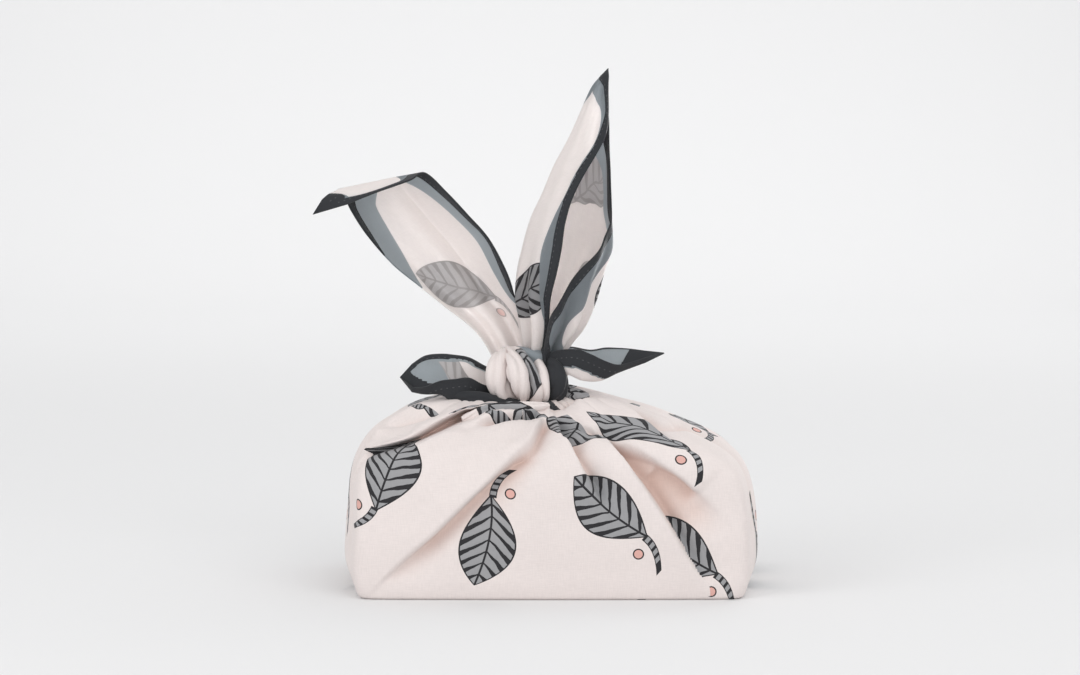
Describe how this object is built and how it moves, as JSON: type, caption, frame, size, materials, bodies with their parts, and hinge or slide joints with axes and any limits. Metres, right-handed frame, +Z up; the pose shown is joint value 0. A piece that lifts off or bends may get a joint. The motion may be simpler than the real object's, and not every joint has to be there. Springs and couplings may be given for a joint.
{
  "type": "furoshiki wrap",
  "caption": "Square hemmed cloth tied round a box-shaped bundle, with tall standing corner ears and short knotted tails.",
  "frame": {"origin": "centre of the flat base, on the surface that the bundle stands on", "axes": "+Z up through the knot to the tip of the tall ear; +X along the bundle's long side, towards the side the small right tail points to; -Y is the front, where the panels fold over each other"},
  "size_m": [0.2017, 0.1245, 0.235],
  "materials": {
    "printed_cotton": "matte, fine plain weave"
  },
  "bodies": {
    "root": {"furoshiki_cloth": "printed_cotton"}
  },
  "joints": []
}
